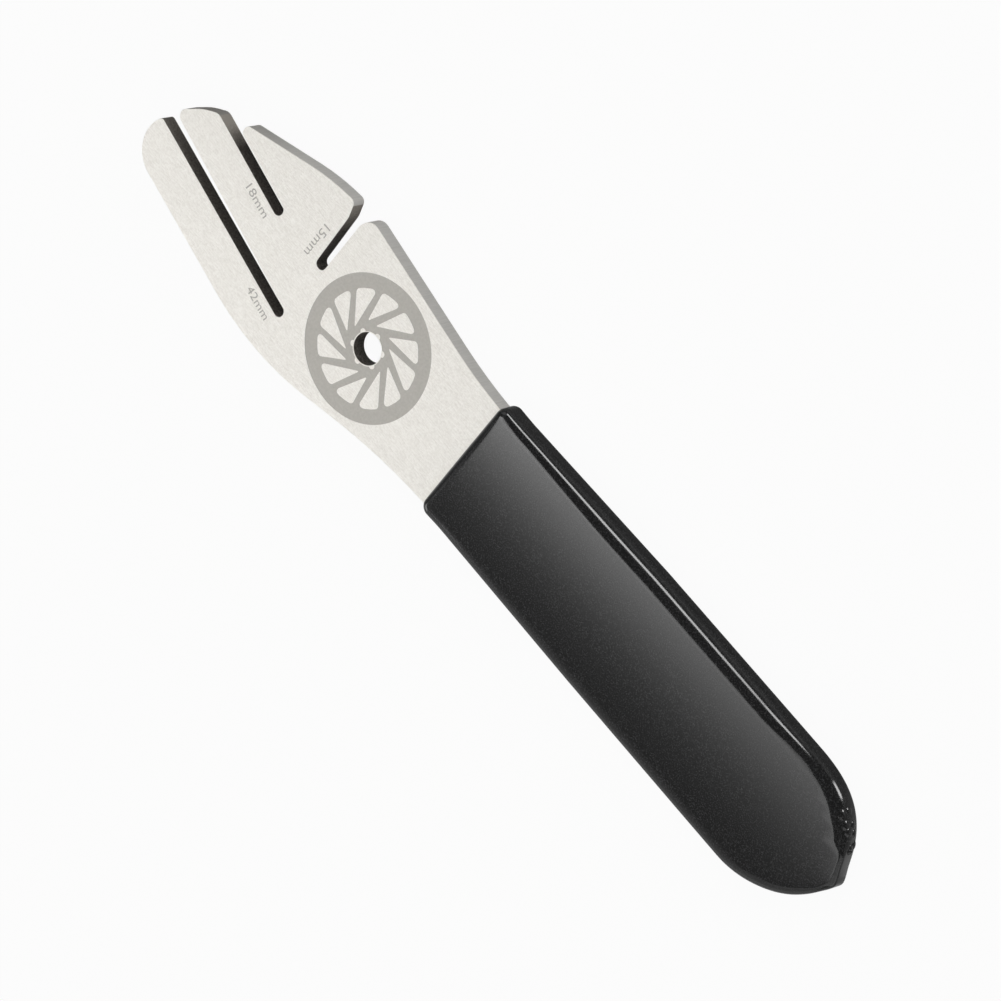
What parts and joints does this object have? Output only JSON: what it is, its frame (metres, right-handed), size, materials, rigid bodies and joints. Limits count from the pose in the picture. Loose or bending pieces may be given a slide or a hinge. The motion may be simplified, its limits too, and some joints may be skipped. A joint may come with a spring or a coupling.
{
  "type": "disc brake truing tool",
  "caption": "Flat forked steel truing tool with slots of different depths for bending a bicycle brake disc straight, a hanging hole and a dipped vinyl grip.",
  "frame": {"origin": "middle of the tool's footprint, on the surface that it lies on", "axes": "+X from the fork to the end of the grip, +Z out of the marked face of the plate, +Y across the tool towards the side slot"},
  "size_m": [0.1934, 0.037, 0.0058],
  "materials": {
    "blade": "satin rolled stainless sheet with laser-cut edges",
    "grip": "smooth dipped black vinyl"
  },
  "bodies": {
    "root": {"blade": "blade", "grip": "grip"}
  },
  "joints": []
}
